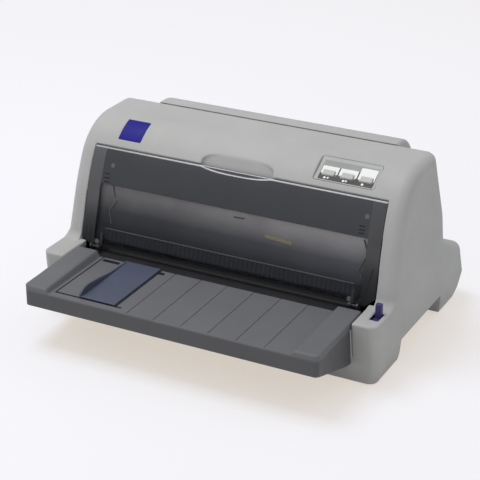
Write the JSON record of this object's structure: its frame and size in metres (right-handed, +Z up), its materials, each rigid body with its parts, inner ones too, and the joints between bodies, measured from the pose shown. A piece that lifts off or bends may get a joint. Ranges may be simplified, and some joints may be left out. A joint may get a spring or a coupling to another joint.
{
  "type": "dot matrix printer",
  "caption": "Flat-bed dot matrix printer with a hinged smoke front cover, paper tray with edge guide, rear cover and exposed print mechanism inside.",
  "frame": {"origin": "on the desk, below the middle of the whole printer, paper tray included", "axes": "+X to the right of a person facing the printer, -Y towards that person, +Z up"},
  "size_m": [0.422, 0.35, 0.211],
  "materials": {
    "case_plastic": "fine-textured light grey moulded plastic",
    "tray_plastic": "fine-textured dark grey moulded plastic",
    "guide_plastic": "smooth blue-grey plastic",
    "smoke_plastic": "clear smoke-tinted plastic, glossy",
    "lever_plastic": "blue-violet plastic",
    "badge_film": "printed blue film, bare",
    "button_plastic": "mid grey plastic",
    "lamp_plastic": "milky light guides",
    "black_plastic": "black plastic",
    "ivory_plastic": "natural nylon",
    "rubber": "black rubber",
    "zinc_steel": "zinc-plated sheet steel",
    "ground_steel": "ground and polished shaft",
    "cast_aluminium": "die-cast, blackened fins",
    "motor_steel": "black-painted motor can",
    "brass": "turned brass",
    "board": "green solder mask",
    "supply_parts": "transformer, cans and heat sink on a board",
    "flat_cable": "white flat flexible cable",
    "inked_fabric": "inked nylon ribbon"
  },
  "bodies": {
    "case": {"lower_case": "case_plastic", "upper_case": "case_plastic", "rubber_feet": "rubber", "case_screws": "zinc_steel", "badge_plate": "badge_film", "control_panel": "case_plastic", "panel_board": "board", "panel_lamps": "lamp_plastic", "front_tray": "tray_plastic", "front_cover_pins": "zinc_steel", "rear_cover_pins": "zinc_steel", "lever_bracket": "zinc_steel", "chassis_pan": "zinc_steel", "side_frame_left": "zinc_steel", "side_frame_right": "zinc_steel", "front_rail": "zinc_steel", "rear_beam": "zinc_steel", "carriage_shaft": "ground_steel", "carriage_motor": "motor_steel", "idler_bracket": "zinc_steel", "timing_belt": "rubber", "ribbon_cartridge": "black_plastic", "ribbon_band": "inked_fabric", "platen": "black_plastic", "paper_bed": "black_plastic", "feed_motor": "motor_steel", "tractor_rail": "ground_steel", "main_board": "board", "power_supply": "supply_parts", "rear_panel": "zinc_steel", "power_inlet": "black_plastic", "data_ports": "black_plastic"},
    "front_cover": {"front_cover": "smoke_plastic"},
    "rear_cover": {"rear_cover": "case_plastic"},
    "edge_guide": {"edge_guide": "guide_plastic"},
    "release_lever": {"release_lever": "lever_plastic"},
    "button_left": {"button_left": "button_plastic"},
    "button_middle": {"button_middle": "button_plastic"},
    "button_right": {"button_right": "button_plastic"},
    "carriage": {"carriage": "black_plastic", "print_head": "cast_aluminium", "head_cable": "flat_cable"},
    "drive_pulley": {"drive_pulley": "brass"},
    "idler_pulley": {"idler_pulley": "ivory_plastic"},
    "ribbon_knob": {"ribbon_knob": "guide_plastic"},
    "front_feed_roller": {"front_feed_roller": "rubber"},
    "front_pressure_roller": {"front_pressure_roller": "ivory_plastic"},
    "rear_feed_roller": {"rear_feed_roller": "rubber"},
    "rear_pressure_roller": {"rear_pressure_roller": "ivory_plastic"},
    "motor_pinion": {"motor_pinion": "brass"},
    "idler_gear": {"idler_gear": "ivory_plastic"},
    "gap_lever": {"gap_lever": "lever_plastic"},
    "tractor_shaft": {"tractor_shaft": "ground_steel"},
    "tractor_left": {"tractor_left": "black_plastic"},
    "tractor_right": {"tractor_right": "black_plastic"},
    "tractor_wheel_left": {"tractor_wheel_left": "ivory_plastic"},
    "tractor_wheel_right": {"tractor_wheel_right": "ivory_plastic"},
    "tractor_lid_left": {"tractor_lid_left": "tray_plastic"},
    "tractor_lid_right": {"tractor_lid_right": "tray_plastic"},
    "power_switch": {"power_switch": "black_plastic"}
  },
  "joints": [
    {"name": "front_cover_hinge", "type": "hinge", "parent": "case", "child": "front_cover", "pos_m": [0, -0.052, 0.0735], "axis": [1, 0, 0], "range_deg": [0, 100]},
    {"name": "rear_cover_hinge", "type": "hinge", "parent": "case", "child": "rear_cover", "pos_m": [0, 0.091, 0.205], "axis": [1, 0, 0], "range_deg": [0, 80]},
    {"name": "edge_guide_slide", "type": "slide", "parent": "case", "child": "edge_guide", "axis": [1, 0, 0], "range_m": [-0.024, 0.006]},
    {"name": "release_lever_hinge", "type": "hinge", "parent": "case", "child": "release_lever", "pos_m": [0.1984, -0.066, 0.048], "axis": [1, 0, 0], "range_deg": [0, 22]},
    {"name": "button_left_press", "type": "slide", "parent": "case", "child": "button_left", "axis": [0, 0.5195, -0.8545], "range_m": [0, 0.001], "stiffness_N_per_m": 400, "springref_m": -0.0008},
    {"name": "button_middle_press", "type": "slide", "parent": "case", "child": "button_middle", "axis": [0, 0.5195, -0.8545], "range_m": [0, 0.001], "stiffness_N_per_m": 400, "springref_m": -0.0008},
    {"name": "button_right_press", "type": "slide", "parent": "case", "child": "button_right", "axis": [0, 0.5195, -0.8545], "range_m": [0, 0.001], "stiffness_N_per_m": 400, "springref_m": -0.0008},
    {"name": "carriage_slide", "type": "slide", "parent": "case", "child": "carriage", "axis": [1, 0, 0], "range_m": [-0.165, 0.045]},
    {"name": "drive_pulley_spin", "type": "hinge", "parent": "case", "child": "drive_pulley", "pos_m": [0.146, 0.08, 0.095], "axis": [0, 0, 1], "range_deg": [-1400, 1400]},
    {"name": "idler_pulley_spin", "type": "hinge", "parent": "case", "child": "idler_pulley", "pos_m": [-0.146, 0.08, 0.095], "axis": [0, 0, 1], "range_deg": [-1400, 1400]},
    {"name": "ribbon_knob_turn", "type": "hinge", "parent": "case", "child": "ribbon_knob", "pos_m": [-0.12, 0.017, 0.14], "axis": [0, 0, 1], "continuous": true},
    {"name": "feed_spin", "type": "hinge", "parent": "case", "child": "front_feed_roller", "pos_m": [0, -0.018, 0.0609], "axis": [1, 0, 0], "continuous": true},
    {"name": "front_pressure_spin", "type": "hinge", "parent": "case", "child": "front_pressure_roller", "pos_m": [0, -0.018, 0.0745], "axis": [1, 0, 0], "continuous": true},
    {"name": "rear_feed_spin", "type": "hinge", "parent": "case", "child": "rear_feed_roller", "pos_m": [0, 0.048, 0.0609], "axis": [1, 0, 0], "continuous": true},
    {"name": "rear_pressure_spin", "type": "hinge", "parent": "case", "child": "rear_pressure_roller", "pos_m": [0, 0.048, 0.0745], "axis": [1, 0, 0], "continuous": true},
    {"name": "idler_gear_spin", "type": "hinge", "parent": "case", "child": "idler_gear", "pos_m": [-0.176, 0.015, 0.0609], "axis": [1, 0, 0], "continuous": true},
    {"name": "pinion_spin", "type": "hinge", "parent": "case", "child": "motor_pinion", "pos_m": [-0.176, 0.03107, 0.04175], "axis": [1, 0, 0], "continuous": true},
    {"name": "gap_lever_hinge", "type": "hinge", "parent": "case", "child": "gap_lever", "pos_m": [-0.165, 0.07, 0.118], "axis": [1, 0, 0], "range_deg": [-15, 15]},
    {"name": "tractor_spin", "type": "hinge", "parent": "case", "child": "tractor_shaft", "pos_m": [0, 0.108, 0.08], "axis": [1, 0, 0], "continuous": true},
    {"name": "tractor_left_slide", "type": "slide", "parent": "case", "child": "tractor_left", "axis": [1, 0, 0], "range_m": [-0.03, 0.025]},
    {"name": "tractor_wheel_left_spin", "type": "hinge", "parent": "tractor_left", "child": "tractor_wheel_left", "pos_m": [-0.1, 0.108, 0.08], "axis": [1, 0, 0], "continuous": true},
    {"name": "tractor_lid_left_hinge", "type": "hinge", "parent": "tractor_left", "child": "tractor_lid_left", "pos_m": [-0.115, 0.115, 0.093], "axis": [0, 1, 0], "range_deg": [-95, 0]},
    {"name": "tractor_right_slide", "type": "slide", "parent": "case", "child": "tractor_right", "axis": [1, 0, 0], "range_m": [-0.025, 0.03]},
    {"name": "tractor_wheel_right_spin", "type": "hinge", "parent": "tractor_right", "child": "tractor_wheel_right", "pos_m": [0.1, 0.108, 0.08], "axis": [1, 0, 0], "continuous": true},
    {"name": "tractor_lid_right_hinge", "type": "hinge", "parent": "tractor_right", "child": "tractor_lid_right", "pos_m": [0.115, 0.115, 0.093], "axis": [0, 1, 0], "range_deg": [0, 95]},
    {"name": "power_switch_rock", "type": "hinge", "parent": "case", "child": "power_switch", "pos_m": [-0.133, 0.152, 0.047], "axis": [1, 0, 0], "range_deg": [-8, 8]}
  ],
  "couplings": [
    {"joint": "drive_pulley_spin", "follows": "carriage_slide", "rad_per_m": 142.86},
    {"joint": "idler_pulley_spin", "follows": "carriage_slide", "rad_per_m": 142.86},
    {"joint": "front_pressure_spin", "follows": "feed_spin", "ratio": -1.6},
    {"joint": "rear_feed_spin", "follows": "feed_spin", "ratio": 1},
    {"joint": "rear_pressure_spin", "follows": "feed_spin", "ratio": -1.6},
    {"joint": "idler_gear_spin", "follows": "feed_spin", "ratio": -0.73684},
    {"joint": "pinion_spin", "follows": "feed_spin", "ratio": 2.3333},
    {"joint": "tractor_spin", "follows": "feed_spin", "ratio": 0.72727},
    {"joint": "tractor_wheel_left_spin", "follows": "feed_spin", "ratio": 0.72727},
    {"joint": "tractor_wheel_right_spin", "follows": "feed_spin", "ratio": 0.72727}
  ]
}
